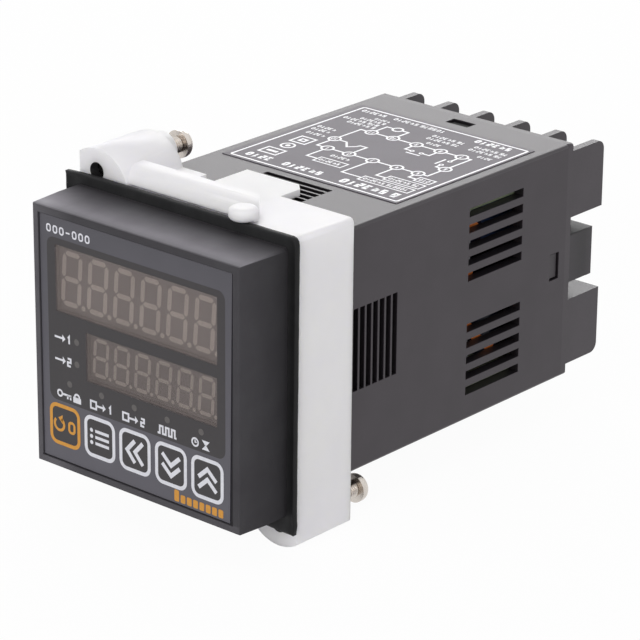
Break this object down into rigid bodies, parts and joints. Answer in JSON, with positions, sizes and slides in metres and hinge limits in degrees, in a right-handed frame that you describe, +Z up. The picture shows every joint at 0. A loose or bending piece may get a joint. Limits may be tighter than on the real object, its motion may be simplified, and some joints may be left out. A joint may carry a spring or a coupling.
{
  "type": "panel counter",
  "caption": "Square flush-mounting electronic counter with two rows of digits, a key row, a deep vented case, screw terminals at the rear and a ratchet clamp bracket.",
  "frame": {"origin": "centre of the panel's front face, where the bezel's rear face meets the panel", "axes": "+X to the right seen from the front, +Y into the panel, +Z up"},
  "size_m": [0.0528, 0.1021, 0.0622],
  "materials": {
    "case_plastic": "fine grain, satin",
    "film": "printed film, satin",
    "display_face": "matt grey",
    "digit_inlay": "unlit, diffused",
    "lamp": "unlit, diffused",
    "key_plastic": "matt",
    "switch_plastic": "matt",
    "board": "solder mask",
    "chip": "matt",
    "core_steel": "stacked sheets",
    "coil_tape": "taped",
    "relay_plastic": "moulded",
    "capacitor_sleeve": "sleeved",
    "label": "printed foil, satin",
    "contact_brass": "plated",
    "plated_steel": "nickel plated",
    "gasket_rubber": "matt",
    "nylon": "translucent natural nylon, satin"
  },
  "bodies": {
    "housing": {"housing": "case_plastic", "front_film": "film", "upper_display": "display_face", "upper_digits": "digit_inlay", "lower_display": "display_face", "lower_digits": "digit_inlay", "indicator_lamps": "lamp", "key_switches": "switch_plastic", "display_board": "board", "control_chip": "chip", "board_connectors": "chip", "upper_board": "board", "lower_board": "board", "transformer_core": "core_steel", "transformer_coil": "coil_tape", "relays": "relay_plastic", "capacitors": "capacitor_sleeve", "rating_label": "label", "terminal_block": "case_plastic", "terminal_contacts": "contact_brass", "clamp_plates": "plated_steel", "terminal_screws": "plated_steel", "panel_gasket": "gasket_rubber"},
    "bracket": {"mounting_bracket": "nylon"},
    "clamp_upper": {"clamp_screw_upper": "plated_steel"},
    "clamp_lower": {"clamp_screw_lower": "plated_steel"},
    "key_reset": {"key_reset": "key_plastic"},
    "key_mode": {"key_mode": "key_plastic"},
    "key_left": {"key_left": "key_plastic"},
    "key_down": {"key_down": "key_plastic"},
    "key_up": {"key_up": "key_plastic"}
  },
  "joints": [
    {"name": "bracket_slide", "type": "slide", "parent": "housing", "child": "bracket", "axis": [0, 1, 0], "range_m": [0, 0.006]},
    {"name": "clamp_upper_turn_out", "type": "slide", "parent": "bracket", "child": "clamp_upper", "axis": [0, 1, 0], "range_m": [0, 0.006]},
    {"name": "clamp_lower_turn_out", "type": "slide", "parent": "bracket", "child": "clamp_lower", "axis": [0, 1, 0], "range_m": [0, 0.006]},
    {"name": "key_reset_press", "type": "slide", "parent": "housing", "child": "key_reset", "axis": [0, 1, 0], "range_m": [0, 0.0003], "stiffness_N_per_m": 4000},
    {"name": "key_mode_press", "type": "slide", "parent": "housing", "child": "key_mode", "axis": [0, 1, 0], "range_m": [0, 0.0003], "stiffness_N_per_m": 4000},
    {"name": "key_left_press", "type": "slide", "parent": "housing", "child": "key_left", "axis": [0, 1, 0], "range_m": [0, 0.0003], "stiffness_N_per_m": 4000},
    {"name": "key_down_press", "type": "slide", "parent": "housing", "child": "key_down", "axis": [0, 1, 0], "range_m": [0, 0.0003], "stiffness_N_per_m": 4000},
    {"name": "key_up_press", "type": "slide", "parent": "housing", "child": "key_up", "axis": [0, 1, 0], "range_m": [0, 0.0003], "stiffness_N_per_m": 4000}
  ]
}
